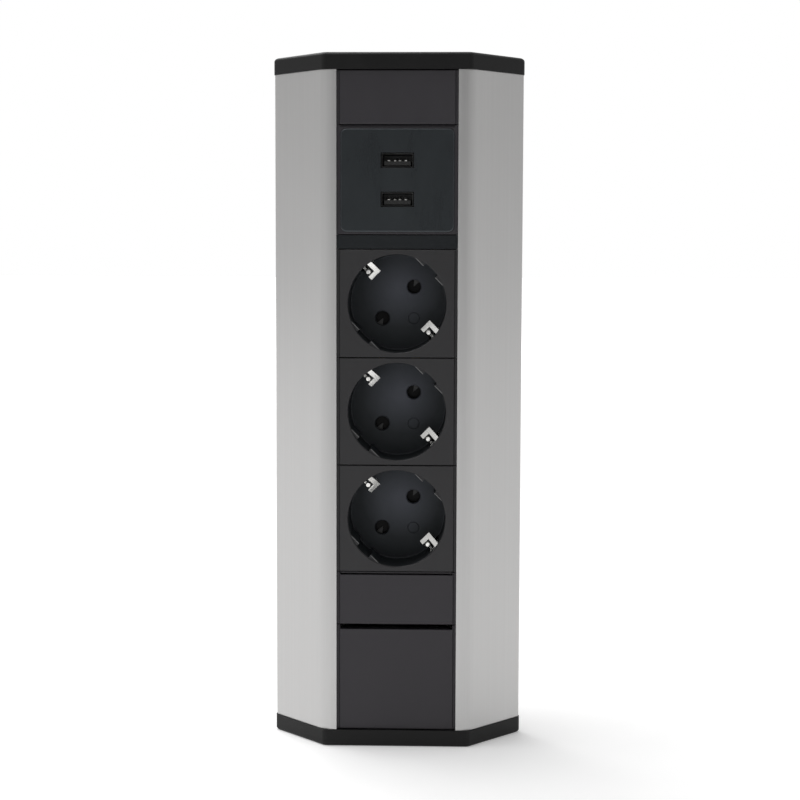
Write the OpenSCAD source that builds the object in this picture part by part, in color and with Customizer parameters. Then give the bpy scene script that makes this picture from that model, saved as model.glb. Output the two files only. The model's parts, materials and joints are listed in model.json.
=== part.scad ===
// Corner socket block: an aluminium column for the corner between two kitchen walls, with a
// strip of sockets, a double USB charger and blank plates down its front.
// Millimetres. X is to the right, Y to the rear and Z up. The origin is on the worktop, in the
// middle of the block's width and depth. A depth is counted back from the block's front plane.

/* [Body] */
// Width across the two side corners
body_w = 106; // [104:1:110]
// Depth from the front plane to the blunt rear edge
body_d = 66; // [65:1:68]
// Width of the blunt rear edge between its two bends
rear_w = 23.3; // [22:0.1:25]
// Height of an end cap
cap_h = 7; // [6:0.5:9]
// Rounding of the upper cap's top edge
top_edge_r = 1.5; // [0.8:0.1:2]
// Rounding of the lower cap's bottom edge
bottom_edge_r = 1.2; // [0.5:0.1:1.5]

/* [Aluminium profile] */
// Thickness of the profile's walls
wall_t = 2; // [1.6:0.1:2.4]
// How far the profile stays behind the caps at the front and the flanks
profile_inset = 0.4; // [0.2:0.1:0.8]
// How far the profile's blunt edge stays inside that of the caps
tip_inset = 1.8; // [1.6:0.1:2.4]
// Radius of the two front bends
front_bend_r = 10; // [6:0.5:11]
// Radius of the two side corners
side_bend_r = 2.6; // [2.5:0.1:4]
// Width of the front opening
opening_w = 50.2; // [49.6:0.1:50.8]
// Width of the front face from the opening to the line where it bends
band_w = 5.4; // [5:0.1:5.9]
// Thickness of the lips beside the opening
lip_t = 1.4; // [1.2:0.1:1.6]
// Thickness of the ribs behind the lips
rib_t = 1.5; // [1.2:0.1:2]
// Outer radius of a screw channel
channel_r = 3.2; // [3:0.1:3.6]
// Bore radius of a screw channel
channel_bore_r = 1.6; // [1.5:0.05:1.8]
// Distance of the side screw channels from the side corners
channel_in = 9; // [8:0.5:11]
// Distance of the rear screw channels from the ends of the blunt edge, measured across
rear_channel_in = 4.4; // [4:0.1:6]

/* [Inserts] */
// Land between the tubes of two recesses, which sets the height of a full insert
recess_land = 1; // [0.8:0.1:4]
// Height of the spacer strip
spacer_h = 6; // [5:0.5:10]
// Thickness of an insert's plate
plate_t = 2.2; // [2:0.1:2.6]
// How far a plate reaches behind a lip
plate_overlap = 1.9; // [1.5:0.1:2.2]
// Gap between two plates
plate_gap = 0.3; // [0.2:0.05:0.5]
// How far the middle of an insert stands in front of its edges
insert_rise = 0.5; // [0.3:0.1:0.8]
// Width of the low edge left and right of that middle
insert_edge = 1.1; // [0.8:0.1:1.6]
// Chamfer round that middle
insert_chamfer = 0.3; // [0.15:0.05:0.3]
// Height of the finger-nail slot over the lower blank
lower_slot_h = 1.9; // [1:0.1:2.5]
// Height of the step at the top of the half blank
half_slot_h = 1.2; // [0.8:0.1:1.5]
// Height of the slot at the top of the USB frame
usb_slot_h = 0.8; // [0.5:0.1:1.2]

/* [Socket] */
// Radius of the recess
well_r = 20.4; // [20:0.1:20.6]
// Depth of the recess
well_depth = 18; // [17:0.1:18.5]
// Wall around the recess
well_wall = 1.6; // [1.2:0.1:1.8]
// Thickness of the recess floor
floor_t = 1.6; // [1.4:0.1:2.2]
// Distance between the two pin holes
pin_pitch = 19; // [18.6:0.1:19.4]
// Radius of a pin hole
pin_hole_r = 2.9; // [2.7:0.05:3.1]
// Radius of the fillet round the recess floor
foot_r = 0.7; // [0.5:0.1:1.2]
// Distance of the guide ledges from the recess axis
ledge_off = 18.6; // [18:0.1:19]
// Gap between the two ledges of one side
ledge_gap = 6.9; // [6:0.1:8]
// Chamfer of a ledge's front edge
ledge_chamfer = 0.4; // [0.2:0.05:0.5]
// Depth of the socket base behind the recess floor
base_depth = 21; // [20:0.5:24]
// How much smaller the radius of the socket base is than that of the recess
base_in = 0.4; // [0.3:0.05:0.8]

/* [Earth contact] */
// Width of the earth strip
clip_w = 5.4; // [5:0.1:5.6]
// How far the strip's middle lies beside the line square to the pins
clip_side = 1.8; // [1.6:0.1:2]
// Thickness of the earth strip
clip_t = 0.7; // [0.5:0.05:0.8]
// Distance of a finger's nose from the recess axis
nose_off = 15; // [14.8:0.1:16]

/* [Shutter] */
// Radius of the post that the shutter turns on
post_r = 2; // [1.6:0.1:2.4]
// Running clearance around that post
post_fit = 0.05; // [0.03:0.01:0.08]
// Width of a shutter wing
wing_w = 6.4; // [6:0.1:7]
// Thickness of a shutter wing
wing_t = 1.6; // [1.2:0.1:1.8]

/* [USB] */
// Margin of the frame left and right of the raised panel
panel_margin_x = 1.6; // [1.2:0.1:3]
// Margin of the frame over and under the raised panel
panel_margin_z = 1.3; // [1.1:0.1:2.5]
// How far the panel stands in front of its frame
panel_rise = 0.9; // [0.7:0.1:1.2]
// Chamfer round the panel's front
panel_chamfer = 0.5; // [0.2:0.1:0.6]
// Width inside a receptacle
usb_w = 12.5; // [12.3:0.1:12.8]
// Height inside a receptacle
usb_h = 5.1; // [5:0.05:5.3]
// Distance between the two receptacles
usb_pitch = 16; // [14:0.5:18]
// Length of a receptacle
usb_len = 14; // [13:0.5:16]
// How far a receptacle stays behind the panel's front
shell_back = 1.5; // [1:0.1:2]

/* [Rails] */
// Width of a rail
rail_w = 5; // [4:0.1:5.4]
// Thickness of a rail
rail_t = 0.8; // [0.6:0.1:1]
// Outer radius of a pin sleeve
sleeve_r = 3.3; // [3.1:0.1:3.5]
// Bore radius of a pin sleeve
sleeve_bore_r = 2.4; // [2.3:0.05:2.5]

/* [Fixings] */
// Radius of the screw holes in the two rear walls
wall_hole_r = 2.25; // [2:0.05:2.75]
// Distance of those holes from the middle plane
wall_hole_x = 38; // [36:0.5:40]
// Radius of the cable hole in the blunt rear edge
cable_hole_r = 6; // [5:0.25:6.5]
// Radius of the bore through the cable grommet
cable_r = 4.2; // [3.5:0.1:4.5]
// Height of the cable hole over the worktop
cable_z = 26; // [24:1:40]
// Shank radius of the cap screws
screw_r = 1.55; // [1.4:0.05:1.6]
// Head radius of the cap screws
screw_head_r = 3.4; // [3:0.1:3.6]
// Length of the cap screws
screw_len = 16; // [14:1:20]

/* [Hidden] */
$fn = 64;
// One overrun serves every cut
over = 0.5;
// Clearance of a sliding fit between two flat sides
fit = 0.2;
// Clearance around a bent strip
strip_fit = 0.35;

aluminium = "#b9babc";
cap_black = "#1f2021";
insert_black = "#303133";
base_grey = "#4a4b4e";
nickel = "#c9c8c2";
brass = "#b8975a";
steel = "#9a9c9f";
board_green = "#1f5a3c";
shutter_grey = "#3d3e42";
rubber_black = "#18191a";
tongue_black = "#26272a";
tape_yellow = "#c8a43c";
sleeve_blue = "#26303c";

module_h = 2 * (well_r + well_wall) + recess_land;
half_h = module_h / 2;
z_lower = cap_h;
z_half = z_lower + module_h;
z_sockets = z_half + half_h;
z_spacer = z_sockets + 3 * module_h;
z_usb = z_spacer + spacer_h;
z_top = z_usb + module_h;
z_end = z_top + half_h;

front_w = opening_w + 2 * band_w;
front_y = -body_d / 2;
rear_y = body_d / 2;
// Half the width to the point where a flank and a rear wall would meet without their rounding
corner_x = body_w / 2 + side_bend_r * (sqrt(2) - 1);
// X plus Y is the same all along the outside of a rear wall, so the two walls are square to each other
rear_sum = rear_y + rear_w / 2;
side_y = rear_sum - corner_x;
rear_bend_r = side_bend_r;
bend_radii = [front_bend_r, front_bend_r, side_bend_r, rear_bend_r, rear_bend_r, side_bend_r];
inner_radii = [for (r = bend_radii) max(r - wall_t, over)];
// The caps keep crisper corners than the profile, as moulded parts do
cap_corner_r = 3;
cap_radii = [for (r = bend_radii) min(r, cap_corner_r)];

// Depths behind the front plane
face_d = profile_inset + lip_t;
front_d = face_d - insert_rise;
middle_w = opening_w - 2 * insert_edge;
plate_back_d = face_d + plate_t;
groove_back_d = plate_back_d + fit / 2;
plate_w = opening_w + 2 * plate_overlap;
groove_w = plate_w + 2 * fit;
throat_w = opening_w - lip_t;
floor_d = front_d + well_depth;
floor_back_d = floor_d + floor_t;
base_back_d = floor_back_d + base_depth;

// Position of a shape's own corners, counter-clockwise
function rect_corners(w, h) = [[-w, -h] / 2, [w, -h] / 2, [w, h] / 2, [-w, h] / 2];
function unit(v) = v / norm(v);
arc_steps = 6;
// Points of the arc that rounds the corner b between its neighbours a and c
function corner_arc(a, b, c, r) =
    let (u = unit(a - b), v = unit(c - b), half = acos(u * v) / 2)
    let (centre = b + unit(u + v) * r / sin(half), start = b + u * r / tan(half) - centre)
    let (from = atan2(start.y, start.x), sweep = 180 - 2 * half)
    [for (i = [0 : arc_steps]) let (a = from + sweep * i / arc_steps) centre + r * [cos(a), sin(a)]];
function rounded_outline(p, r) =
    let (n = len(p))
    [for (i = [0 : n - 1]) each corner_arc(p[(i + n - 1) % n], p[i], p[(i + 1) % n], r[i])];
flank = unit([corner_x - front_w / 2, side_y - front_y]);
// Normals that point inwards from a flank and from a rear wall
flank_n = [-flank.y, flank.x];
rear_n = -unit([1, 1]);
// Corners of the block's plan, with its front and flanks, its rear walls and its blunt edge set in
function plan_corners(front_in, rear_in, tip_in) =
    let (f = [front_w / 2, front_y] + front_in * [-flank.y / (1 + flank.x), 1])
    let (across = flank_n.x * rear_n.y - flank_n.y * rear_n.x)
    let (shift = [front_in * rear_n.y - rear_in * flank_n.y, rear_in * flank_n.x - front_in * rear_n.x])
    let (s = [corner_x, side_y] + shift / across)
    let (r = [rear_sum - rear_in * sqrt(2) - rear_y + tip_in, rear_y - tip_in])
    [[-f.x, f.y], f, s, r, [-r.x, r.y], [-s.x, s.y]];
// Outline of a bent strip: its middle line, thickened to both sides with mitred bends
function side_of(p, i, t) =
    let (n = len(p), a = p[max(i - 1, 0)], b = p[i], c = p[min(i + 1, n - 1)])
    let (d1 = i == 0 ? unit(c - b) : unit(b - a), d2 = i == n - 1 ? d1 : unit(c - b))
    let (n1 = [-d1.y, d1.x], n2 = [-d2.y, d2.x], m = unit(n1 + n2))
    b + m * t / (m * n1);
function strip_outline(p, t) =
    let (n = len(p))
    concat([for (i = [0 : n - 1]) side_of(p, i, t / 2)], [for (i = [n - 1 : -1 : 0]) side_of(p, i, -t / 2)]);

// Extrudes a shape drawn in X and Z from one depth to another
module slab(from, to) {
    translate([0, front_y + to, 0]) rotate([90, 0, 0]) linear_extrude(to - from) children();
}
module plan(front_in, rear_in, tip_in, radii) {
    polygon(rounded_outline(plan_corners(front_in, rear_in, tip_in), radii));
}
module rounded_rect(w, h, r) {
    polygon(rounded_outline(rect_corners(w, h), [r, r, r, r]));
}
// Draws its children at both places, left and right of the middle plane
module both_sides() {
    children();
    mirror([1, 0, 0]) children();
}

// Screw channels of the profile, where the cap screws bite
side_channel = [corner_x - channel_in, side_y];
channel_merge = 0.4;
rear_channel_sum = rear_sum - (wall_t + channel_r - channel_merge) * sqrt(2);
rear_channel_x = rear_w / 2 + rear_channel_in;
rear_channel = [rear_channel_x, rear_channel_sum - rear_channel_x];
channels = [side_channel, rear_channel];
channel_web = rib_t;

module profile_section() {
    difference() {
        intersection() {
            plan(profile_inset, 0, tip_inset, bend_radii);
            union() {
                difference() {
                    plan(0, -over, -over, bend_radii);
                    plan(profile_inset + wall_t, wall_t, tip_inset + wall_t, inner_radii);
                }
                both_sides() {
                    translate([groove_w / 2, front_y]) square([rib_t, groove_back_d + rib_t]);
                    translate([throat_w / 2, front_y + groove_back_d]) square([body_w / 2, rib_t]);
                    for (p = channels) translate(p) circle(r = channel_r);
                    translate(side_channel - [0, channel_web / 2]) square([channel_in, channel_web]);
                }
            }
        }
        translate([-opening_w / 2, front_y]) square([opening_w, face_d]);
        translate([-groove_w / 2, front_y + face_d]) square([groove_w, groove_back_d - face_d]);
        both_sides() for (p = channels) {
            translate(p) circle(r = channel_bore_r);
            translate(p) rotate(p == side_channel ? 180 : 225)
                translate([0, -channel_bore_r / 2]) square([channel_r + channel_merge, channel_bore_r]);
        }
    }
}

wall_hole_zs = [z_lower + module_h / 2, z_top + half_h / 2];
module housing_profile() {
    color(aluminium) difference() {
        translate([0, 0, cap_h]) linear_extrude(z_end - cap_h) profile_section();
        both_sides() for (z = wall_hole_zs)
            translate([wall_hole_x, rear_sum - wall_hole_x, z])
                rotate([0, 90, 45]) cylinder(h = 4 * wall_t, r = wall_hole_r, center = true);
        translate([0, rear_y, cable_z]) rotate([90, 0, 0])
            cylinder(h = tip_inset + wall_t + over, r = cable_hole_r);
    }
}

// End caps, drawn with the face that meets the profile at Z zero and the outer face above it
spigot_h = 5;
spigot_t = 1.6;
cap_skin_t = 2.6;
cap_rim_share = 1.6;
boss_r = channel_r + channel_merge;
edge_steps = 4;
head_h = screw_head_r - screw_r;
head_sunk = 0.1;
spigot_front_y = side_y + channel_r + spigot_t;
module cap_blank(edge_r) {
    hull() {
        linear_extrude(cap_h - edge_r) plan(0, 0, 0, cap_radii);
        for (i = [1 : edge_steps]) {
            a = 90 * i / edge_steps;
            in = edge_r * (1 - cos(a));
            translate([0, 0, cap_h - edge_r]) linear_extrude(edge_r * sin(a))
                plan(in, in, in, cap_radii);
        }
    }
}
module end_cap(edge_r) {
    rim = cap_rim_share * wall_t;
    inside = wall_t + fit;
    difference() {
        union() {
            difference() {
                cap_blank(edge_r);
                translate([0, 0, -over]) linear_extrude(cap_h - cap_skin_t + over) difference() {
                    plan(groove_back_d + rib_t, rim, tip_inset + rim, cap_radii);
                    both_sides() for (p = channels) translate(p) circle(r = boss_r);
                }
            }
            translate([0, 0, -spigot_h]) linear_extrude(spigot_h + cap_h - cap_skin_t) difference() {
                plan(profile_inset + inside, inside, tip_inset + inside, cap_radii);
                plan(profile_inset + inside, inside + spigot_t, tip_inset + inside + spigot_t, cap_radii);
                translate([-body_w / 2, front_y]) square([body_w, spigot_front_y - front_y]);
                both_sides() translate(rear_channel) circle(r = boss_r + spigot_t);
            }
        }
        both_sides() for (p = channels) translate([p.x, p.y, 0]) {
            translate([0, 0, -over]) cylinder(h = cap_h + 2 * over, r = screw_r + fit);
            translate([0, 0, cap_h - head_sunk - head_h])
                cylinder(h = head_h, r1 = screw_r + fit, r2 = screw_head_r + fit);
            translate([0, 0, cap_h - head_sunk]) cylinder(h = over, r = screw_head_r + fit);
        }
    }
}
module place_top() {
    translate([0, 0, z_end]) children();
}
module place_bottom() {
    translate([0, 0, cap_h]) mirror([0, 0, 1]) children();
}
module top_cap() {
    color(cap_black) place_top() end_cap(top_edge_r);
}
module bottom_cap() {
    color(cap_black) place_bottom() end_cap(bottom_edge_r);
}
drive_t = screw_r / 2;
module cap_screws() {
    both_sides() for (p = channels) translate([p.x, p.y, cap_h - head_sunk]) difference() {
        union() {
            translate([0, 0, -screw_len]) cylinder(h = screw_len - head_h, r = screw_r);
            translate([0, 0, -head_h]) cylinder(h = head_h, r1 = screw_r, r2 = screw_head_r);
        }
        for (a = [0, 90]) rotate(a) translate([-screw_head_r / 2, -drive_t / 2, -head_h / 2])
            cube([screw_head_r, drive_t, head_h]);
    }
}
module top_cap_screws() {
    color(steel) place_top() cap_screws();
}
module bottom_cap_screws() {
    color(steel) place_bottom() cap_screws();
}

// Rubber bush in the blunt rear edge
flange_t = 1.4;
flange_over = 1.6;
neck_fit = 0.05;
module cable_grommet() {
    outer_y = rear_y - tip_inset;
    color(rubber_black) translate([0, outer_y, cable_z]) rotate([90, 0, 0]) difference() {
        union() {
            translate([0, 0, -flange_t]) cylinder(h = flange_t, r = cable_hole_r + flange_over);
            cylinder(h = wall_t, r = cable_hole_r - neck_fit);
            translate([0, 0, wall_t])
                cylinder(h = flange_t, r1 = cable_hole_r + flange_over, r2 = cable_hole_r);
        }
        translate([0, 0, -flange_t - over]) cylinder(h = wall_t + 2 * flange_t + 2 * over, r = cable_r);
    }
}

// Plates that slide in the profile's grooves
slot_side = 0.4;
slot_w = middle_w - 2 * slot_side;
slot_through_d = plate_back_d + over;
// The raised middle of a plate of this height, chamfered all round its front
function chamfered(w) =
    let (in = w / 2 - insert_chamfer, d = front_d + insert_chamfer)
    [[-w / 2, plate_back_d], [-w / 2, d], [-in, front_d], [in, front_d], [w / 2, d], [w / 2, plate_back_d]];
module raised_middle(h) {
    translate([0, front_y, 0]) intersection() {
        linear_extrude(h, center = true) polygon(chamfered(middle_w));
        rotate([0, 90, 0]) linear_extrude(middle_w, center = true) polygon(chamfered(h));
    }
}
module insert_plate(z, h, front, slot_h, slot_back) {
    plate_h = h - plate_gap;
    translate([0, 0, z + plate_gap / 2]) difference() {
        translate([0, 0, plate_h / 2]) {
            slab(face_d, plate_back_d) square([plate_w, plate_h], center = true);
            if (front < face_d) raised_middle(plate_h);
        }
        if (slot_h > 0)
            slab(front - over, slot_back)
                translate([-slot_w / 2, plate_h - slot_h]) square([slot_w, slot_h + over]);
    }
}
stiffener_t = 1.4;
stiffener_d = 4;
stiffener_in = 2;
module blank_plate(z, h, slot_h, slot_back) {
    color(insert_black) {
        insert_plate(z, h, front_d, slot_h, slot_back);
        translate([0, 0, z]) slab(plate_back_d, plate_back_d + stiffener_d) difference() {
            w = throat_w - 2 * stiffener_in;
            translate([-w / 2, stiffener_in]) square([w, h - 2 * stiffener_in]);
            translate([-w / 2 + stiffener_t, stiffener_in + stiffener_t])
                square([w - 2 * stiffener_t, h - 2 * stiffener_in - 2 * stiffener_t]);
        }
    }
}
module top_blank() {
    blank_plate(z_top, half_h, 0, 0);
}
// The half blank's step is shallow, with a narrow groove along its foot
step_depth = 1.1;
foot_groove_h = 0.45;
module half_blank() {
    difference() {
        blank_plate(z_half, half_h, half_slot_h, front_d + step_depth);
        translate([0, 0, z_half + half_h - plate_gap / 2 - half_slot_h])
            slab(front_d - over, slot_through_d) translate([-slot_w / 2, 0]) square([slot_w, foot_groove_h]);
    }
}
module lower_blank() {
    blank_plate(z_lower, module_h, lower_slot_h, slot_through_d);
}
module spacer_strip() {
    color(insert_black) insert_plate(z_spacer, spacer_h, face_d, 0, 0);
}

// Places of the sockets: number one is the highest
socket_count = 3;
function socket_z(n) = z_sockets + (socket_count - n) * module_h + module_h / 2;
module in_socket(n) {
    translate([0, 0, socket_z(n)]) children();
}
// The pins stand on a line that rises to the right
pin_line = 45;
pin_x = pin_pitch / 2 * cos(pin_line);
module at_pins() {
    for (s = [-1, 1]) translate([s * pin_x, s * pin_x]) children();
}
module at_pins_3d(d) {
    for (s = [-1, 1]) translate([s * pin_x, front_y + d, s * pin_x]) children();
}
// Guide ledges at both ends of the pin line; each side's two leave a gap in the middle
module ledges() {
    from = front_d + ledge_drop;
    to = floor_d + over;
    in = ledge_off + ledge_chamfer;
    rotate([0, -pin_line, 0]) intersection() {
        slab(from, to) circle(r = well_r + well_wall / 2);
        for (u = [-1, 1], v = [-1, 1]) scale([u, 1, v])
            translate([0, front_y, ledge_gap / 2]) linear_extrude(well_r) polygon(
                [[ledge_off, to], [ledge_off, from + ledge_chamfer], [in, from], [2 * well_r, from],
                 [2 * well_r, to]]);
    }
}
// Recess cutter, drawn from the floor up: a rounded foot, a straight wall and a chamfered rim
foot_steps = 5;
module recess_cutter() {
    foot = [for (i = [0 : foot_steps]) foot_r * [sin(90 * i / foot_steps) - 1, 1 - cos(90 * i / foot_steps)]];
    translate([0, front_y + floor_d, 0]) rotate([90, 0, 0]) rotate_extrude() polygon(concat(
        [[0, 0]], [for (p = foot) [well_r, 0] + p],
        [[well_r, well_depth - rim_chamfer], [well_r + rim_chamfer + over, well_depth + over],
         [0, well_depth + over]]));
}
window_w = clip_w + 2 * strip_fit;
window_top = 2.6;
catch_w = 3;
catch_len = 1.8;
catch_in = 9;
catch_d = face_d + catch_in;
catch_out = 1;
arm_w = 6;
arm_t = 1.2;
arm_gap = 0.2;
well_out_r = well_r + well_wall;
rim_chamfer = 0.3;
ledge_drop = 0.8;
ring_r = 2.5;
ring_t = 0.25;
arm_off = well_out_r + arm_gap;
pin_lead = 0.4;
module socket_cover(n) {
    color(insert_black) in_socket(n) {
        difference() {
            union() {
                slab(face_d, plate_back_d) square([plate_w, module_h - plate_gap], center = true);
                raised_middle(module_h - plate_gap);
                slab(face_d, floor_back_d) circle(r = well_out_r);
                slab(catch_d, catch_d + catch_len) rotate(pin_line)
                    square([2 * (well_out_r + catch_out), catch_w], center = true);
            }
            recess_cutter();
            slab(floor_d - over, floor_back_d + over) at_pins() circle(r = pin_hole_r);
            at_pins_3d(floor_d + pin_lead) rotate([90, 0, 0])
                cylinder(h = 2 * pin_lead, r1 = pin_hole_r, r2 = pin_hole_r + 2 * pin_lead);
            slab(face_d + window_top, floor_back_d + over) rotate(pin_line)
                for (s = [-1, 1]) translate([clip_side, s * (well_r + well_out_r) / 2])
                    square([window_w, 2 * well_wall + over], center = true);
            slab(floor_d - over, floor_d + ring_t) translate([pin_x, -pin_x]) difference() {
                circle(r = ring_r);
                circle(r = ring_r - ring_t);
            }
        }
        ledges();
    }
}

// Base behind the recess: a chamber for the shutter, two for the pin sleeves, and rail grooves
shutter_gap = 0.3;
ramp_rise = 1.2;
wing_front_d = floor_back_d + shutter_gap + ramp_rise;
wing_back_d = wing_front_d + wing_t;
spring_wire = 0.9;
chamber_d = wing_back_d + spring_wire + 2 * shutter_gap;
base_r = well_r - base_in;
chamber_r = base_r - well_wall;
// Two bases in a column clear each other by the flats at their tops and bottoms
flat_in = 0.5;
base_flat = 2 * (base_r - flat_in);
sleeve_gap = 0.8;
sleeve_front_d = chamber_d + sleeve_gap;
sleeve_len = 9.6;
rail_d = sleeve_front_d + sleeve_len;
base_front_d = floor_back_d;
arm_back_d = chamber_d + arm_w;
anchor_off = 12;
anchor_w = 1.6;
module socket_base(n) {
    color(base_grey) in_socket(n) {
        difference() {
            union() {
                intersection() {
                    slab(base_front_d, base_back_d) circle(r = base_r);
                    slab(base_front_d, base_back_d) square([2 * base_r, base_flat], center = true);
                }
                rotate([0, -pin_line, 0]) for (s = [-1, 1]) scale([s, 1, 1]) {
                    slab(chamber_d, arm_back_d) translate([base_r - arm_t, -arm_w / 2])
                        square([arm_off + arm_t - base_r + arm_t, arm_w]);
                    slab(catch_d - catch_len, chamber_d) translate([arm_off, -arm_w / 2])
                        square([arm_t, arm_w]);
                }
            }
            slab(base_front_d - over, chamber_d) circle(r = chamber_r);
            slab(chamber_d - over, rail_d) at_pins() circle(r = sleeve_r + sleeve_gap);
            slab(rail_d, base_back_d + over) for (s = [-1, 1])
                translate([s * pin_x, 0]) square([rail_w + 2 * fit, 2 * base_r], center = true);
            slab(catch_d - fit, catch_d + catch_len + fit) rotate(pin_line)
                square([2 * (arm_off + arm_t + over), catch_w + 2 * fit], center = true);
        }
        slab(floor_back_d + shutter_gap, chamber_d) circle(r = post_r);
        slab(wing_back_d + shutter_gap, chamber_d) rotate(pin_line)
            translate([0, anchor_off]) square(anchor_w, center = true);
    }
}

// Rotary shutter: two wings over the pin holes, each with a ramp that a pin pushes aside
hub_r = 3.6;
wing_reach = 13.4;
ramp_len = 5.6;
// Outline of a ramp, its tip at the middle of the pin hole, as shares of the hole's radius
ramp_share = [[-0.1, 0.05], [1.3, -0.1], [1.1, 1.05]];
lug_w = 1.6;
lug_off = 8;
ramp_side = [[wing_t, -wing_w / 2], [wing_t, wing_w / 2], [-ramp_rise, wing_w / 2], [0, -wing_w / 2]];
module socket_shutter(n) {
    color(shutter_grey) in_socket(n) rotate([0, -pin_line, 0]) difference() {
        union() {
            slab(wing_front_d, wing_back_d) square([2 * wing_reach, wing_w], center = true);
            slab(floor_back_d + shutter_gap, wing_back_d + spring_wire + shutter_gap) circle(r = hub_r);
            for (s = [0, 180]) rotate([0, s, 0]) intersection() {
                translate([pin_pitch / 2 - ramp_len / 2, front_y + wing_front_d, 0])
                    rotate([90, 0, 90]) linear_extrude(2 * ramp_len) polygon(ramp_side);
                slab(wing_front_d - ramp_rise, wing_back_d) translate([pin_pitch / 2, 0])
                    polygon(ramp_share * pin_hole_r);
            }
            slab(wing_back_d, wing_back_d + spring_wire) translate([lug_off, 0]) square(lug_w, center = true);
        }
        slab(floor_back_d, chamber_d) circle(r = post_r + post_fit);
    }
}
coil_in_r = hub_r + strip_fit;
coil_out_r = coil_in_r + spring_wire;
module socket_shutter_spring(n) {
    color(steel) in_socket(n) rotate([0, -pin_line, 0])
        slab(wing_back_d + shutter_gap / 2, wing_back_d + shutter_gap / 2 + spring_wire) {
            difference() {
                circle(r = coil_out_r);
                circle(r = coil_in_r);
            }
            translate([coil_in_r + spring_wire / 2, -spring_wire / 2])
                square([lug_off - lug_w / 2 - coil_in_r - spring_wire / 2, spring_wire]);
            translate([-spring_wire / 2, coil_in_r + spring_wire / 2])
                square([spring_wire, anchor_off - anchor_w / 2 - coil_in_r - spring_wire / 2]);
        }
}

// Earth contact: one strip bent into a bridge behind the base and a finger at both windows
arm_v = well_r + clip_t / 2 + strip_fit / 2;
fold_in = 1.2;
nose_in = 4.6;
tip_back = 4.2;
tip_out = 2;
fold_d = face_d + window_top + fold_in;
nose_d = fold_d + nose_in;
tip_d = nose_d + tip_back;
tip_v = nose_off + tip_out;
bridge_d = base_back_d + clip_t / 2;
// The finger is cut away but for its nose and one side; behind the nose a round lug stands on a neck
nose_band = 1.2;
side_band = 2;
lug_round_r = 1.25;
lug_neck = 1;
lug_gap = 0.5;
lug_head_h = 0.4;
lug_v = nose_off + nose_band + lug_gap + lug_round_r;
lug_u = lug_round_r + fit - clip_w / 2;
lug_front_d = nose_d - clip_t;
module socket_earth_clip(n) {
    half_path = [[arm_v, bridge_d], [arm_v, fold_d], [nose_off, nose_d], [tip_v, tip_d]];
    mirrored = [for (i = [len(half_path) - 1 : -1 : 0]) [-half_path[i].x, half_path[i].y]];
    color(nickel) in_socket(n) rotate([0, 180 + pin_line, 0]) translate([0, front_y, -clip_side]) {
        difference() {
            translate([0, 0, -clip_w / 2]) linear_extrude(clip_w)
                polygon(strip_outline(concat(mirrored, half_path), clip_t));
            for (s = [-1, 1]) scale([s, 1, 1])
                translate([nose_off + nose_band, 0, side_band - clip_w / 2])
                    cube([arm_v - nose_off, lug_front_d, clip_w]);
        }
        for (s = [-1, 1]) scale([s, 1, 1])
            translate([lug_v, lug_front_d + clip_t, -lug_u]) rotate([90, 0, 0]) {
                cylinder(h = clip_t, r = lug_round_r);
                translate([0, 0, clip_t])
                    cylinder(h = lug_head_h, r1 = lug_round_r, r2 = lug_round_r - lug_head_h);
                linear_extrude(clip_t) translate([0, -lug_neck / 2]) square([arm_v - lug_v, lug_neck]);
            }
    }
}

// Rails behind the sockets, each with the sleeves that grip the pins
terminal_h = 16;
terminal_w = 27;
terminal_margin = 5;
terminal_front_d = rail_d - terminal_margin;
terminal_back_d = base_back_d + terminal_margin;
terminal_top_z = socket_z(socket_count) - base_flat / 2;
rail_grip = 11;
rail_end = 4;
module pin_sleeve() {
    difference() {
        slab(sleeve_front_d, rail_d) circle(r = sleeve_r);
        slab(sleeve_front_d - over, rail_d - rail_t) circle(r = sleeve_bore_r);
        slab(sleeve_front_d - over, rail_d - 3 * rail_t) for (a = [0, 90]) rotate(a)
            square([3 * sleeve_r, rail_t], center = true);
    }
}
module live_rail(s) {
    color(brass) {
        slab(rail_d, rail_d + rail_t) translate([s * pin_x - rail_w / 2, terminal_top_z - rail_grip])
            square([rail_w, socket_z(1) + s * pin_x + rail_end - terminal_top_z + rail_grip]);
        for (n = [1 : socket_count])
            in_socket(n) translate([s * pin_x, 0, s * pin_x]) pin_sleeve();
    }
}
module line_rail() {
    live_rail(1);
}
module neutral_rail() {
    live_rail(-1);
}
earth_rail_d = base_back_d + clip_t;
module earth_rail() {
    color(brass) slab(earth_rail_d, earth_rail_d + rail_t)
        translate([-rail_w / 2, terminal_top_z - rail_grip])
            square([rail_w, socket_z(1) + rail_end - terminal_top_z + rail_grip]);
}

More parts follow.
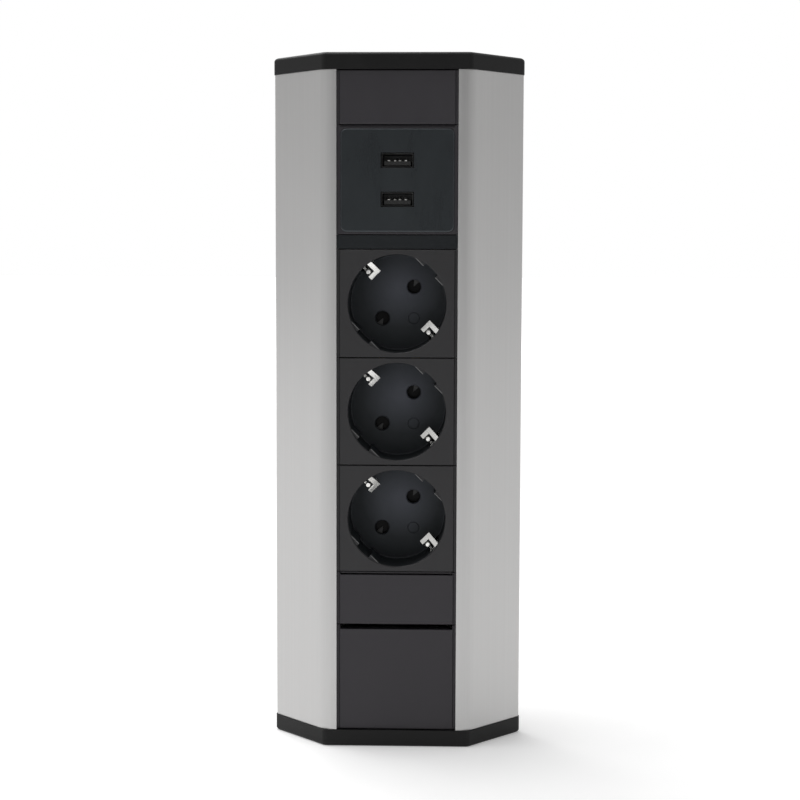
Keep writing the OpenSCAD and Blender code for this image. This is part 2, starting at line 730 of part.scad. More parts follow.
// Supply terminal block, seated on the flat under the lowest base
poles = [[-pin_x, rail_d], [0, earth_rail_d], [pin_x, rail_d]];
terminal_screw_r = 1.5;
terminal_head_r = 2.3;
terminal_head_h = 1.6;
terminal_sunk = 1;
screw_up = 3.5;
screw_z = terminal_top_z - rail_grip + screw_up;
wire_r = 1.8;
screw_gap = 0.1;
module supply_terminal_block() {
    color(base_grey) difference() {
        slab(terminal_front_d, terminal_back_d) translate([-terminal_w / 2, terminal_top_z - terminal_h])
            square([terminal_w, terminal_h]);
        for (p = poles) {
            slab(p[1] - fit, p[1] + rail_t + fit)
                translate([p[0] - rail_w / 2 - fit, terminal_top_z - rail_grip - fit])
                    square([rail_w + 2 * fit, rail_grip + fit + over]);
            slab(terminal_front_d - over, p[1])
                translate([p[0], screw_z]) circle(r = terminal_screw_r + screw_gap);
            slab(terminal_front_d - over, terminal_front_d + terminal_sunk + terminal_head_h)
                translate([p[0], screw_z]) circle(r = terminal_head_r + screw_gap);
            translate([p[0], front_y + p[1] - wire_r, terminal_top_z - terminal_h - over])
                cylinder(h = terminal_h - rail_grip + screw_up + over, r = wire_r);
        }
    }
}
module terminal_screws() {
    color(steel) for (p = poles) difference() {
        union() {
            slab(terminal_front_d + terminal_sunk, terminal_front_d + terminal_sunk + terminal_head_h)
                translate([p[0], screw_z]) circle(r = terminal_head_r);
            slab(terminal_front_d + terminal_sunk, p[1])
                translate([p[0], screw_z]) circle(r = terminal_screw_r);
        }
        slab(terminal_front_d, terminal_front_d + terminal_sunk + terminal_head_h / 2)
            translate([p[0], screw_z]) square([3 * terminal_head_r, drive_t], center = true);
    }
}

// USB charger insert
shell_t = 0.35;
port_margin = 0.25;
collar_t = 1;
collar_len = 2.6;
panel_r = 2.5;
panel_t = 1.6;
panel_border = 2;
panel_w = opening_w - 2 * panel_margin_x;
panel_h = module_h - 2 * panel_margin_z;
usb_window_w = panel_w - 2 * panel_border;
usb_window_h = panel_h - 2 * panel_border;
skirt_t = 1.4;
skirt_w = throat_w - 2 * stiffener_in;
skirt_h = module_h - 2 * stiffener_in;
skirt_depth = 7;
panel_z = -usb_slot_h / 4;
// The frame's slot is shallow, so that it reads as a dark line and not as a hole
usb_slot_depth = 1;
panel_front_d = face_d - panel_rise;
box_w = skirt_w - 2 * skirt_t - 2 * fit;
box_h = skirt_h - 2 * skirt_t - 2 * fit;
box_t = 1.5;
box_front_d = plate_back_d + fit;
board_t = 1.6;
shell_front_d = panel_front_d + shell_back;
board_d = shell_front_d + usb_len;
board_gap = 0.3;
box_depth = 32;
foot_w = 4;
module in_usb() {
    translate([0, 0, z_usb + module_h / 2]) children();
}
module at_ports() {
    for (s = [-1, 1]) translate([0, s * usb_pitch / 2]) children();
}
module usb_frame() {
    color(insert_black) {
        difference() {
            insert_plate(z_usb, module_h, face_d, usb_slot_h, face_d + usb_slot_depth);
            in_usb() slab(face_d - over, plate_back_d + over) translate([0, panel_z])
                rounded_rect(usb_window_w, usb_window_h, panel_r / 2);
        }
        in_usb() slab(plate_back_d, plate_back_d + skirt_depth) difference() {
            square([skirt_w, skirt_h], center = true);
            square([skirt_w - 2 * skirt_t, skirt_h - 2 * skirt_t], center = true);
        }
    }
}
module usb_panel() {
    spigot_w = usb_window_w - 2 * fit;
    spigot_hh = usb_window_h - 2 * fit;
    port = [usb_w, usb_h] + 2 * [1, 1] * (shell_t + port_margin);
    color(insert_black) in_usb() difference() {
        union() {
            translate([0, 0, panel_z]) hull() for (in = [0, panel_chamfer])
                slab(panel_front_d + panel_chamfer - in, face_d)
                    rounded_rect(panel_w - 2 * in, panel_h - 2 * in, panel_r - in);
            slab(face_d, plate_back_d) translate([0, panel_z]) difference() {
                rounded_rect(spigot_w, spigot_hh, panel_r / 2);
                rounded_rect(spigot_w - 2 * panel_t, spigot_hh - 2 * panel_t, panel_r / 4);
            }
            slab(face_d, face_d + collar_len) at_ports() square(port + 2 * [1, 1] * collar_t, center = true);
        }
        slab(panel_front_d - over, face_d + collar_len + over) at_ports() square(port, center = true);
    }
}
module usb_shell(s) {
    color(nickel) in_usb() translate([0, 0, s * usb_pitch / 2]) slab(shell_front_d, board_d) difference() {
        square([usb_w + 2 * shell_t, usb_h + 2 * shell_t], center = true);
        square([usb_w, usb_h], center = true);
    }
}
module usb_shell_upper() {
    usb_shell(1);
}
module usb_shell_lower() {
    usb_shell(-1);
}
tongue_w = 11.1;
tongue_t = 1.84;
tongue_low = 0.45;
tongue_in = 0.8;
tongue_front_d = shell_front_d + tongue_in;
plug_len = 9;
block_d = tongue_front_d + plug_len;
module usb_tongue(s) {
    color(tongue_black) in_usb() translate([0, 0, s * usb_pitch / 2]) {
        slab(block_d, board_d) square([usb_w, usb_h], center = true);
        slab(tongue_front_d, block_d)
            translate([-tongue_w / 2, tongue_low - usb_h / 2]) square([tongue_w, tongue_t]);
    }
}
module usb_tongue_upper() {
    usb_tongue(1);
}
module usb_tongue_lower() {
    usb_tongue(-1);
}
// Four sprung contacts lie on each tongue; the outer two are longer, as they mate first
contact_w = 1;
contact_t = 0.3;
bump_h = 1.1;
bump_len = 0.6;
contact_xs_share = [-3.5, -1, 1, 3.5];
contact_back_share = [0.3, 1.3, 1.3, 0.3];
module usb_contacts(s) {
    z = tongue_low + tongue_t - usb_h / 2;
    color(nickel) in_usb() translate([0, 0, s * usb_pitch / 2])
        for (i = [0 : 3]) translate([(contact_xs_share[i] - 1 / 2) * contact_w, front_y, z])
            rotate([90, 0, 90]) linear_extrude(contact_w)
                contact_side(tongue_front_d + contact_back_share[i] * contact_w);
}
module contact_side(from) {
    polygon([[from, 0], [block_d, 0], [block_d, contact_t], [from + 3 * bump_len, contact_t],
             [from + 2 * bump_len, bump_h], [from + bump_len, bump_h], [from, contact_t]]);
}
module usb_contacts_upper() {
    usb_contacts(1);
}
module usb_contacts_lower() {
    usb_contacts(-1);
}
module usb_circuit_board() {
    color(board_green) in_usb() slab(board_d, board_d + board_t)
        square([box_w - 2 * box_t - 2 * board_gap, box_h - 2 * box_t - 2 * board_gap], center = true);
}
transformer_w = 16;
transformer_h = 14;
transformer_depth = 11;
core_t = 2.4;
transformer_margin = 4.3;
transformer_x = transformer_margin + box_t + (transformer_w - box_w) / 2;
module usb_transformer() {
    color(tape_yellow) in_usb() {
        slab(board_d + board_t, board_d + board_t + transformer_depth)
            translate([transformer_x, 0]) square([transformer_w - 2 * core_t, transformer_h], center = true);
        slab(board_d + board_t + core_t, board_d + board_t + transformer_depth - core_t)
            translate([transformer_x, 0]) square([transformer_w, transformer_h - 2 * core_t], center = true);
    }
}
capacitor_r = 4;
capacitor_len = 11;
capacitor_margin = 5.3;
capacitor_x = box_w / 2 - box_t - capacitor_margin - capacitor_r;
capacitor_z = 6;
module usb_capacitors() {
    color(sleeve_blue) in_usb() for (s = [-1, 1])
        slab(board_d + board_t, board_d + board_t + capacitor_len)
            translate([capacitor_x, s * capacitor_z]) circle(r = capacitor_r);
}
module usb_back_box() {
    color(base_grey) in_usb() difference() {
        slab(box_front_d, box_front_d + box_depth) square([box_w, box_h], center = true);
        slab(box_front_d - over, board_d + board_t)
            square([box_w - 2 * box_t, box_h - 2 * box_t], center = true);
        slab(board_d, box_front_d + box_depth - box_t) difference() {
            square([box_w - 2 * box_t, box_h - 2 * box_t], center = true);
            for (a = [-1, 1], b = [-1, 1]) translate([a * (box_w / 2 - box_t), b * (box_h / 2 - box_t)])
                square(2 * foot_w, center = true);
        }
    }
}

housing_profile();
top_cap();
bottom_cap();
top_cap_screws();
bottom_cap_screws();
cable_grommet();
top_blank();
half_blank();
lower_blank();
spacer_strip();
line_rail();
neutral_rail();
earth_rail();
supply_terminal_block();
terminal_screws();
usb_frame();
usb_panel();
usb_shell_upper();
usb_shell_lower();
usb_tongue_upper();
usb_tongue_lower();
usb_contacts_upper();
usb_contacts_lower();
usb_circuit_board();
usb_transformer();
usb_capacitors();
usb_back_box();
for (n = [1 : socket_count]) {
    socket_cover(n);
    socket_base(n);
    socket_shutter(n);
    socket_shutter_spring(n);
    socket_earth_clip(n);
}
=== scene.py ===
import json
import math

import bpy
from mathutils import Matrix, Vector


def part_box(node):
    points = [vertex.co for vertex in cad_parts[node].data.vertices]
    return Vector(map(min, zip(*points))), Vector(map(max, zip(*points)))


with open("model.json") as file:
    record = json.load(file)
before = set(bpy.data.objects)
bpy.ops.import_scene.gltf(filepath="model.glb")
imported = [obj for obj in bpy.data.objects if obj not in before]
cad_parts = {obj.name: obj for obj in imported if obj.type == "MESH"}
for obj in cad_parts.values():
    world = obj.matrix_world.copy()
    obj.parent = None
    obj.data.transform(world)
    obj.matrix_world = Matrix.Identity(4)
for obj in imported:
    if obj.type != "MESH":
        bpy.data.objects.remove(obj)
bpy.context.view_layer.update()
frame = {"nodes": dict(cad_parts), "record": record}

MM = 0.001
NODES = frame["nodes"]
SLOT_OF = {row["node"]: row["material_slot"] for row in frame["record"]["subparts"]}
SOCKETS = (1, 2, 3)
WHITE = (1, 1, 1, 1)


# Materials

class Material:
    """A Principled shader with helpers for the procedural nodes that feed it."""

    def __init__(self, name):
        self.data = bpy.data.materials.new(name)
        self.data.use_nodes = True
        self.tree = self.data.node_tree
        self.tree.nodes.clear()
        self.shader = self.add("ShaderNodeBsdfPrincipled")
        self.output = self.add("ShaderNodeOutputMaterial")
        self.link(self.shader.outputs[0], self.output.inputs[0])
        self.place = self.add("ShaderNodeTexCoord").outputs["Object"]

    def add(self, kind, **settings):
        node = self.tree.nodes.new(kind)
        for key, value in settings.items():
            setattr(node, key, value)
        return node

    def link(self, source, target):
        self.tree.links.new(source, target)

    def set(self, **values):
        """Sets the shader's own sockets; a name's underscores stand for spaces."""
        for key, value in values.items():
            self.shader.inputs[key.replace("_", " ")].default_value = value

    def noise(self, size, detail=3, rough=0.5, stretch=(1, 1, 1)):
        """Noise with features of about this size in metres, longer along an axis by its stretch."""
        scaled = self.add("ShaderNodeMapping")
        self.link(self.place, scaled.inputs["Vector"])
        scaled.inputs["Scale"].default_value = [1 / (size * s) for s in stretch]
        noise = self.add("ShaderNodeTexNoise")
        noise.inputs["Scale"].default_value = 1.0
        noise.inputs["Detail"].default_value = detail
        noise.inputs["Roughness"].default_value = rough
        self.link(scaled.outputs[0], noise.inputs["Vector"])
        return noise.outputs["Fac"]

    def remap(self, source, low, high, from_low=0.3, from_high=0.7):
        """Maps a value to run from low to high; by itself it takes in the range that a noise fills."""
        node = self.add("ShaderNodeMapRange")
        self.link(source, node.inputs["Value"])
        node.inputs["From Min"].default_value = from_low
        node.inputs["From Max"].default_value = from_high
        node.inputs["To Min"].default_value = low
        node.inputs["To Max"].default_value = high
        return node.outputs[0]

    def along(self, axis):
        """The place along an axis, in metres."""
        parts = self.add("ShaderNodeSeparateXYZ")
        self.link(self.place, parts.inputs[0])
        return parts.outputs[axis]

    def math(self, operation, *values):
        """A math node fed with numbers or outputs."""
        node = self.add("ShaderNodeMath", operation=operation)
        for socket, value in zip(node.inputs, values):
            if isinstance(value, (int, float)):
                socket.default_value = value
            else:
                self.link(value, socket)
        return node.outputs[0]

    def total(self, first, *others):
        """Sum of some values."""
        for other in others:
            first = self.math("ADD", first, other)
        return first

    def mixture(self, *parts):
        """Sum of noises, each with the share up to which it runs."""
        return self.total(*(self.remap(noise, 0, share) for noise, share in parts))

    def depth_band(self, first, last, soft=0.05):
        """One between two places along the depth in metres, with soft ends in millimetres."""
        depth = self.along("Y")
        rise = self.remap(depth, 0, 1, first, first + soft * MM)
        return self.math("MULTIPLY", rise, self.remap(depth, 1, 0, last - soft * MM, last))

    def blend(self, factor, first, second):
        """Blends from one colour to another, each a colour or an output."""
        node = self.add("ShaderNodeMix", data_type="RGBA")
        self.link(factor, node.inputs[0])
        for socket, colour in ((node.inputs[6], first), (node.inputs[7], second)):
            if isinstance(colour, tuple):
                socket.default_value = (*colour, 1)
            else:
                self.link(colour, socket)
        return node.outputs[2]

    def tint(self, factor, dark, light):
        """Feeds the base colour with a blend of two colours."""
        self.link(self.blend(factor, dark, light), self.shader.inputs["Base Color"])

    def roughness(self, source):
        self.link(source, self.shader.inputs["Roughness"])

    def bump(self, height, depth, edge=0.3):
        """Bump whose height runs over this depth in metres, on edges rounded by this many millimetres."""
        node = self.add("ShaderNodeBump")
        node.inputs["Distance"].default_value = depth
        node.inputs["Strength"].default_value = 1.0
        self.link(height, node.inputs["Height"])
        rounded = self.add("ShaderNodeBevel", samples=4)
        rounded.inputs["Radius"].default_value = edge * MM
        self.link(rounded.outputs[0], node.inputs["Normal"])
        self.link(node.outputs[0], self.shader.inputs["Normal"])


def grey(value, warm=0.0):
    """A grey whose red is raised and whose blue is lowered by this share."""
    return (value * (1 + warm), value, value * (1 - warm))


def brushed_aluminium():
    """Satin extrusion with drawing lines along its height."""
    skin = Material("aluminium")
    grain = skin.noise(0.16 * MM, detail=4, rough=0.6, stretch=(1, 1, 260))
    streak = skin.noise(1.1 * MM, detail=2, stretch=(1, 1, 500))
    cloud = skin.noise(40 * MM, detail=2)
    skin.set(Metallic=1.0, Anisotropic=0.3)
    shade = skin.mixture((grain, 0.5), (streak, 0.3), (cloud, 0.2))
    skin.tint(skin.remap(shade, 0, 1, 0, 1), grey(0.49, 0.008), grey(0.535, 0.008))
    skin.roughness(skin.remap(skin.mixture((grain, 0.7), (cloud, 0.3)), 0.37, 0.43, 0, 1))
    skin.bump(skin.remap(grain, 0, 1), 0.002 * MM)
    return skin


def plastic_grain(skin, size=0.22):
    """Pits of a spark-eroded mould, of this size in millimetres, and faint flow marks."""
    pits = skin.noise(size * MM, detail=4, rough=0.65)
    flow = skin.noise(9 * MM, detail=3, rough=0.55, stretch=(1, 1, 3))
    return pits, flow


def moulded(name, dark, light, rough=(0.42, 0.56), grain=0.22, depth=0.014, specular=0.5, sheen=(1, 1, 1),
            highlight_band=None):
    """Grained plastic, its grain and depth in millimetres; a band of painted highlight is two places along Y
    and its colour.
    """
    skin = Material(name)
    skin.set(Specular_IOR_Level=specular, Specular_Tint=(*sheen, 1))
    pits, flow = plastic_grain(skin, grain)
    shade = skin.blend(skin.remap(skin.mixture((pits, 0.5), (flow, 0.5)), 0, 1, 0, 1), dark, light)
    # The band between two places along Y takes a painted highlight colour
    if highlight_band:
        first, last, painted_highlight = highlight_band
        shade = skin.blend(skin.depth_band(first, last), shade, painted_highlight)
    skin.link(shade, skin.shader.inputs["Base Color"])
    skin.roughness(skin.remap(skin.mixture((pits, 0.4), (flow, 0.6)), *rough, 0, 1))
    skin.bump(skin.remap(pits, 0, 1), depth * MM)
    return skin


# Depths behind a socket's face: where the recess takes its darker colour, which is painted shade, where its
# floor begins, and the band of painted highlight on the front edges of its ledges
RECESS_FROM = 0.6 * MM
RECESS_TO = 2 * MM
FLOOR_FROM = 16 * MM
FLOOR_TO = 17 * MM
EDGE_HIGHLIGHT_FROM = 0.83 * MM
EDGE_HIGHLIGHT_TO = 1.2 * MM

# The painted highlight on a recess floor: its middle beside and over the recess axis, the radius up to which
# it is palest, and the radius where it ends
HIGHLIGHT_SIDE = 1.5 * MM
HIGHLIGHT_UP = 6 * MM
HIGHLIGHT_PALEST_R = 2 * MM
HIGHLIGHT_R = 17 * MM


def painted_floor_highlight(skin, low, high):
    """One in the middle of each recess floor, where a painted highlight pales it, and zero past the patch.
    """
    half = (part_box("socket_1_cover")[0][2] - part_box("socket_2_cover")[0][2]) / 2
    middle = (low[2] + high[2]) / 2 + HIGHLIGHT_UP
    up = skin.math("WRAP", skin.math("SUBTRACT", skin.along("Z"), middle), half, -half)
    side = skin.math("SUBTRACT", skin.along("X"), HIGHLIGHT_SIDE)
    square = skin.total(skin.math("MULTIPLY", up, up), skin.math("MULTIPLY", side, side))
    patch = skin.remap(skin.math("SQRT", square), 1, 0, HIGHLIGHT_PALEST_R, HIGHLIGHT_R)
    on_floor = skin.remap(skin.along("Y"), 0, 1, low[1] + FLOOR_FROM, low[1] + FLOOR_TO)
    return skin.math("MULTIPLY", patch, on_floor)


def socket_plastic():
    """Grained like the blank plates, duller inside the recess, with painted shade there and painted
    highlights on its floor and ledge edges.
    """
    skin = Material("socket_black")
    pits, flow = plastic_grain(skin)
    low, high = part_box("socket_1_cover")
    front = low[1]
    inside = skin.remap(skin.along("Y"), 0, 1, front + RECESS_FROM, front + RECESS_TO)
    shade = skin.remap(skin.mixture((pits, 0.5), (flow, 0.5)), 0, 1, 0, 1)
    face = skin.blend(shade, grey(0.012, -0.03), grey(0.018, -0.03))
    # Painted shade: the recess is darker and bluer than the face
    painted_recess_light = skin.blend(shade, grey(0.005, -0.15), grey(0.008, -0.15))
    # Painted highlight: a paler, bluish patch in the middle of each recess floor
    painted_recess_light = skin.blend(painted_floor_highlight(skin, low, high), painted_recess_light, (0.064, 0.067, 0.082))
    # Painted highlight: a pale band at the ledges' front edges
    painted_highlight = skin.depth_band(front + EDGE_HIGHLIGHT_FROM, front + EDGE_HIGHLIGHT_TO)
    colour = skin.blend(painted_highlight, skin.blend(inside, face, painted_recess_light), grey(0.16))
    skin.link(colour, skin.shader.inputs["Base Color"])
    # Inside the recess the reflections are tinted weaker and bluer, as part of the same painted shade
    sheen = skin.blend(inside, (1, 0.97, 1), (0.88, 0.94, 1))
    skin.link(sheen, skin.shader.inputs["Specular Tint"])
    mixed = skin.add("ShaderNodeMix")
    skin.link(inside, mixed.inputs[0])
    skin.link(skin.remap(pits, 0.42, 0.54), mixed.inputs[2])
    skin.link(skin.remap(flow, 0.54, 0.64), mixed.inputs[3])
    skin.roughness(mixed.outputs[0])
    skin.bump(skin.remap(pits, 0, 1), 0.01 * MM)
    return skin


def plated(name, dark, light, rough=(0.16, 0.32)):
    """Plated sheet metal with drawing marks and a little tarnish."""
    skin = Material(name)
    marks = skin.noise(0.5 * MM, rough=0.6, stretch=(1, 8, 1))
    tarnish = skin.noise(2.4 * MM)
    skin.set(Metallic=1.0)
    skin.tint(skin.remap(tarnish, 0, 1), dark, light)
    skin.roughness(skin.remap(skin.mixture((marks, 0.6), (tarnish, 0.4)), *rough, 0, 1))
    skin.bump(skin.remap(marks, 0, 1), 0.004 * MM, edge=0.12)
    return skin


def printed_board():
    """Green lacquer over the weave of a circuit board."""
    skin = Material("board_green")
    weave = skin.noise(0.5 * MM, detail=2)
    skin.tint(skin.remap(weave, 0, 1), (0.01, 0.07, 0.035), (0.02, 0.12, 0.06))
    skin.roughness(skin.remap(weave, 0.3, 0.45))
    skin.bump(skin.remap(weave, 0, 1), 0.01 * MM)
    return skin


shutter_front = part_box("socket_1_shutter")[0][1]
# A paler band over the shutters' front is a painted highlight on their ramps
shutter_highlight_band = (shutter_front - 0.1 * MM, shutter_front + 1.1 * MM, grey(0.07))
MATERIALS = {
    "aluminium": brushed_aluminium(),
    "cap_black": moulded("cap_black", grey(0.003), grey(0.006), rough=(0.40, 0.52), specular=0.25),
    "insert_black": moulded("insert_black", (0.0175, 0.0165, 0.0195), (0.0235, 0.0225, 0.026),
                            rough=(0.44, 0.56), sheen=(1, 0.96, 1)),
    "socket_black": socket_plastic(),
    "base_grey": moulded("base_grey", grey(0.05), grey(0.08), rough=(0.45, 0.6)),
    # Near-black shutters: painted shade for the dark inside of the pin holes
    "shutter_grey": moulded("shutter_grey", grey(0.002), grey(0.004), rough=(0.35, 0.5),
                            specular=0.12, highlight_band=shutter_highlight_band),
    "nickel": plated("nickel", (0.86, 0.85, 0.82), (0.96, 0.96, 0.94)),
    "brass": plated("brass", (0.55, 0.39, 0.16), (0.72, 0.55, 0.27), rough=(0.25, 0.4)),
    "steel": plated("steel", grey(0.42), grey(0.56), rough=(0.3, 0.45)),
    "tongue_black": moulded("tongue_black", grey(0.008), grey(0.014), rough=(0.3, 0.4),
                            grain=0.12, depth=0.006),
    "board_green": printed_board(),
    "tape_yellow": moulded("tape_yellow", (0.5, 0.32, 0.06), (0.62, 0.42, 0.1), rough=(0.3, 0.45)),
    "capacitor_sleeve": moulded("capacitor_sleeve", (0.012, 0.018, 0.03), (0.02, 0.03, 0.045),
                                rough=(0.25, 0.35)),
    "rubber": moulded("rubber", grey(0.008), grey(0.013), rough=(0.6, 0.75), grain=0.35, depth=0.02),
}

# Pieces whose finish differs from the rest of their slot
panel_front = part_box("usb_panel")[0][1]
# A paler band at the panel's front edges is a painted highlight
panel_edge_highlight = (panel_front + 0.02 * MM, panel_front + 0.45 * MM, grey(0.06, -0.1))
FINISH = {
    "usb_panel": moulded("panel_black", grey(0.012, -0.14), grey(0.018, -0.14), rough=(0.24, 0.34),
                         grain=0.3, depth=0.004, sheen=(0.88, 0.96, 1), highlight_band=panel_edge_highlight),
    "spacer_strip": moulded("spacer_black", grey(0.004, -0.05), grey(0.007, -0.05), rough=(0.36, 0.46),
                            specular=0.35, sheen=(0.85, 0.93, 1)),
    # The USB shells' near-black steel is painted shade inside the ports
    "usb_shell_upper": plated("shell_painted_shade", grey(0.05), grey(0.09), rough=(0.35, 0.5)),
}
FINISH["usb_shell_lower"] = FINISH["usb_shell_upper"]


# Edges and smoothing

# Angles in degrees: what still counts as one flat face, what gets a rounded edge, what stays sharp, and
# one that leaves no edge sharp
FLAT_ANGLE = 0.6
EDGE_ANGLE = 28
SHARP_ANGLE = 32
NONE_SHARP_ANGLE = 180
WELD_REACH = 0.001 * MM
EDGE_SEGMENTS = 2

# Radius of the rounded edges of each node in millimetres, and of those that it doesn't list
EDGE_MM = {
    "housing_profile": 0.15, "top_cap": 0.25, "bottom_cap": 0.25, "cable_grommet": 0.3,
    "top_blank": 0.2, "half_blank": 0.2, "lower_blank": 0.2, "spacer_strip": 0.2,
    "usb_frame": 0.2, "usb_panel": 0.3, "usb_shell_upper": 0.12, "usb_shell_lower": 0.12,
    "usb_tongue_upper": 0.15, "usb_tongue_lower": 0.15,
    "usb_contacts_upper": 0.08, "usb_contacts_lower": 0.08,
}
for n in SOCKETS:
    EDGE_MM[f"socket_{n}_cover"] = 0.25
    EDGE_MM[f"socket_{n}_shutter"] = 0.2
    EDGE_MM[f"socket_{n}_earth_clip"] = 0.12
OTHER_EDGE_MM = 0.1


def smoothing(name, angle):
    """Geometry nodes that weld the faces, drop the stored normals and keep only the sharp edges sharp."""
    group = bpy.data.node_groups.new(name, "GeometryNodeTree")
    group.interface.new_socket("Geometry", in_out="INPUT", socket_type="NodeSocketGeometry")
    group.interface.new_socket("Geometry", in_out="OUTPUT", socket_type="NodeSocketGeometry")
    add, link = group.nodes.new, group.links.new
    start, end = add("NodeGroupInput"), add("NodeGroupOutput")
    clear = add("GeometryNodeRemoveAttribute")
    clear.inputs["Name"].default_value = "custom_normal"
    weld = add("GeometryNodeMergeByDistance")
    weld.inputs["Distance"].default_value = WELD_REACH
    faces = add("GeometryNodeSetShadeSmooth")
    edges = add("GeometryNodeSetShadeSmooth")
    edges.domain = "EDGE"
    edges.inputs["Shade Smooth"].default_value = False
    bend = add("GeometryNodeInputMeshEdgeAngle")
    sharp = add("FunctionNodeCompare")
    sharp.operation = "GREATER_THAN"
    sharp.inputs["B"].default_value = math.radians(angle)
    link(bend.outputs["Unsigned Angle"], sharp.inputs["A"])
    link(sharp.outputs[0], edges.inputs["Selection"])
    for a, b in ((start, clear), (clear, weld), (weld, faces), (faces, edges), (edges, end)):
        link(a.outputs[0], b.inputs[0])
    return group


WELD = smoothing("weld", NONE_SHARP_ANGLE)
SMOOTH = smoothing("smooth", SHARP_ANGLE)


def soften(piece, width):
    """Rounds a piece's edges by this many millimetres, with modifiers only."""
    piece.modifiers.new("weld", "NODES").node_group = WELD
    flat = piece.modifiers.new("flat", "DECIMATE")
    flat.decimate_type = "DISSOLVE"
    flat.angle_limit = math.radians(FLAT_ANGLE)
    split = piece.modifiers.new("split", "TRIANGULATE")
    split.ngon_method = "BEAUTY"
    edge = piece.modifiers.new("edge", "BEVEL")
    edge.width = width * MM
    edge.segments = EDGE_SEGMENTS
    edge.limit_method = "ANGLE"
    edge.angle_limit = math.radians(EDGE_ANGLE)
    edge.use_clamp_overlap = True
    piece.modifiers.new("smooth", "NODES").node_group = SMOOTH
    shade = piece.modifiers.new("shade", "WEIGHTED_NORMAL")
    shade.keep_sharp = True


for name, piece in NODES.items():
    piece.data.materials.clear()
    piece.data.materials.append(FINISH.get(name, MATERIALS[SLOT_OF[name]]).data)
    soften(piece, EDGE_MM.get(name, OTHER_EDGE_MM))


# Stage

# The floor's glow where it is seen or mirrored, near the block, and from where to where it rises to one
GLOW_NEAR = 0.22
GLOW_FROM = 0.8
GLOW_TO = 2.4
FLOOR_HALF = 12.0

# The world's even light on the block
AMBIENT = 0.35

# A dim studio wall round the front, which the metal mirrors: its radius and height in metres, how far it
# runs round to each side, its radiance to the left, at its darkest place and to the right, and that place
WALL_R = 2.4
WALL_H = 2.4
WALL_SWEEP = math.radians(135)
WALL_STEPS = 36
WALL_LEFT, WALL_FRONT, WALL_RIGHT = 0.58, 0.13, 0.59
WALL_DARK_X = 0.6

# Where the lamps aim
AIM = (0, 0, 0.15)


def new_object(name, data):
    """A new object in the scene."""
    made = bpy.data.objects.new(name, data)
    bpy.context.scene.collection.objects.link(made)
    return made


def background_rays(add, link):
    """One for what the camera sees, and for what metal mirrors or glass shows."""
    seen = add("ShaderNodeLightPath")
    most = seen.outputs["Is Camera Ray"]
    for ray in ("Is Glossy Ray", "Is Transmission Ray"):
        larger = add("ShaderNodeMath")
        larger.operation = "MAXIMUM"
        link(most, larger.inputs[0])
        link(seen.outputs[ray], larger.inputs[1])
        most = larger.outputs[0]
    return most


def floor_material():
    """Pale floor that reads white where it is seen or mirrored and no shadow falls."""
    skin = Material("floor_pale")
    grain = skin.noise(30 * MM, detail=2)
    skin.tint(skin.remap(grain, 0, 1), grey(0.86), grey(0.88))
    skin.set(Roughness=0.7)
    glow = skin.add("ShaderNodeEmission")
    glow.inputs["Color"].default_value = WHITE
    reach = skin.add("ShaderNodeVectorMath", operation="LENGTH")
    skin.link(skin.place, reach.inputs[0])
    rise = skin.remap(reach.outputs["Value"], GLOW_NEAR, 1, GLOW_FROM, GLOW_TO)
    skin.link(skin.math("MULTIPLY", background_rays(skin.add, skin.link), rise), glow.inputs["Strength"])
    both = skin.add("ShaderNodeAddShader")
    skin.link(skin.shader.outputs[0], both.inputs[0])
    skin.link(glow.outputs[0], both.inputs[1])
    skin.link(both.outputs[0], skin.output.inputs[0])
    return skin.data


def make_floor():
    mesh = bpy.data.meshes.new("floor")
    corners = [(x * FLOOR_HALF, y * FLOOR_HALF, 0) for x, y in ((-1, -1), (1, -1), (1, 1), (-1, 1))]
    mesh.from_pydata(corners, [], [(0, 1, 2, 3)])
    floor = new_object("floor", mesh)
    mesh.materials.append(floor_material())


def make_world():
    """White where it is seen or mirrored, and a plain grey level for light."""
    world = bpy.data.worlds.new("studio")
    bpy.context.scene.world = world
    world.use_nodes = True
    tree = world.node_tree
    tree.nodes.clear()
    add, link = tree.nodes.new, tree.links.new
    light, white = add("ShaderNodeBackground"), add("ShaderNodeBackground")
    mix, out = add("ShaderNodeMixShader"), add("ShaderNodeOutputWorld")
    light.inputs["Strength"].default_value = AMBIENT
    for node in (light, white):
        node.inputs["Color"].default_value = WHITE
    link(background_rays(add, link), mix.inputs[0])
    link(light.outputs[0], mix.inputs[1])
    link(white.outputs[0], mix.inputs[2])
    link(mix.outputs[0], out.inputs[0])


def wall_material():
    """Dark wall whose glow is least at one place and grows to both sides."""
    skin = Material("studio_wall")
    skin.set(Base_Color=(*grey(0.02), 1), Emission_Color=WHITE)
    left = skin.remap(skin.along("X"), WALL_LEFT, WALL_FRONT, -WALL_R, WALL_DARK_X)
    right = skin.remap(skin.along("X"), 0, WALL_RIGHT - WALL_FRONT, WALL_DARK_X, WALL_R)
    skin.link(skin.total(left, right), skin.shader.inputs["Emission Strength"])
    skin.data.cycles.emission_sampling = "NONE"
    return skin.data


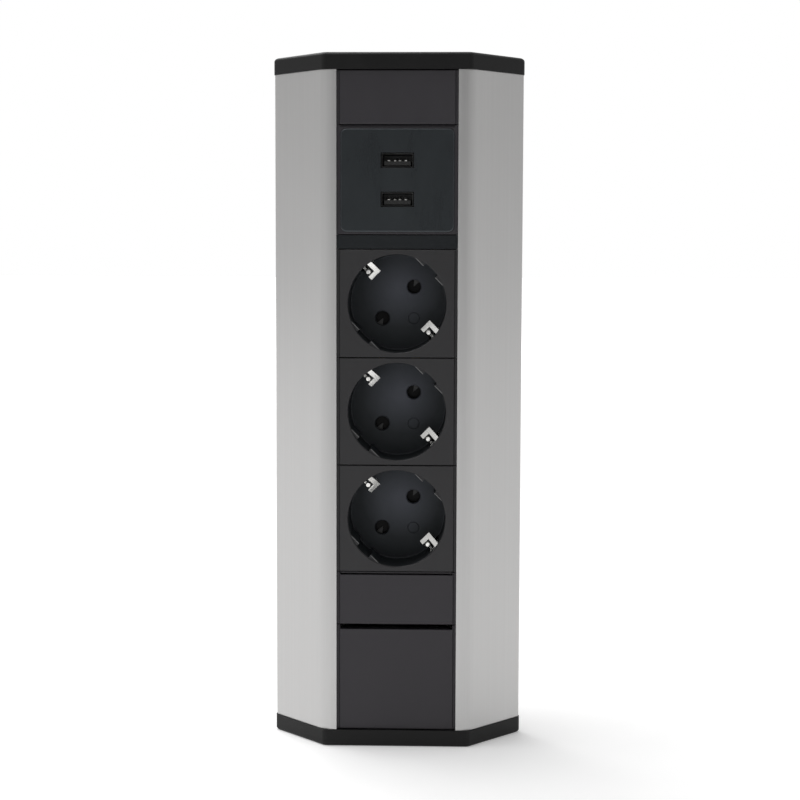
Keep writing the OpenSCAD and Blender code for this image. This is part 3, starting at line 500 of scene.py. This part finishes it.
def make_wall():
    mesh = bpy.data.meshes.new("studio_wall")
    angles = [WALL_SWEEP * (2 * i / WALL_STEPS - 1) for i in range(WALL_STEPS + 1)]
    points = [(WALL_R * math.sin(a), -WALL_R * math.cos(a), z) for z in (0, WALL_H) for a in angles]
    row = WALL_STEPS + 1
    mesh.from_pydata(points, [], [(i, i + 1, row + i + 1, row + i) for i in range(WALL_STEPS)])
    wall = new_object("studio_wall", mesh)
    mesh.materials.append(wall_material())
    wall.visible_camera = False
    wall.visible_shadow = False


def softbox(name, place, width, height, radiance):
    """A large even lamp; its power follows from how bright its face is."""
    lamp = bpy.data.lights.new(name, "AREA")
    lamp.shape = "RECTANGLE"
    lamp.size, lamp.size_y = width, height
    lamp.energy = radiance * math.pi * width * height
    holder = new_object(name, lamp)
    holder.location = place
    holder.rotation_mode = "QUATERNION"
    holder.rotation_quaternion = (Vector(AIM) - Vector(place)).to_track_quat("-Z", "Y")
    holder.visible_camera = False


make_floor()
make_world()
make_wall()
softbox("overhead", place=(-0.8, 0.45, 2.15), width=1.9, height=1.9, radiance=4.2)
softbox("front", place=(-0.5, -1.9, 1.5), width=1.6, height=1.2, radiance=0.35)


# Camera, solved from the photo's straight edges

CAMERA_AT_MM = (20.2, -687.0, 208.5)
CAMERA_YAW, CAMERA_PITCH, CAMERA_ROLL = -0.0288, 0.0784, 0.0027
CAMERA_LENS = 71.2
CAMERA_SHIFT = -0.03


def make_camera():
    data = bpy.data.cameras.new("camera")
    data.sensor_width = 36.0
    data.lens = CAMERA_LENS
    data.shift_y = CAMERA_SHIFT
    data.clip_start = 0.05
    data.clip_end = 60.0
    camera = new_object("camera", data)
    level = math.cos(CAMERA_PITCH)
    ahead = Vector((math.sin(CAMERA_YAW) * level, math.cos(CAMERA_YAW) * level, -math.sin(CAMERA_PITCH)))
    right = Vector((math.cos(CAMERA_YAW), -math.sin(CAMERA_YAW), 0))
    up = right.cross(ahead)
    unroll = Matrix.Rotation(CAMERA_ROLL, 3, ahead).inverted()
    axes = Matrix((unroll @ right, unroll @ up, -ahead)).transposed()
    camera.matrix_world = Matrix.Translation(Vector(CAMERA_AT_MM) * MM) @ axes.to_4x4()
    bpy.context.scene.camera = camera


make_camera()
bpy.context.scene.view_settings.view_transform = "Standard"
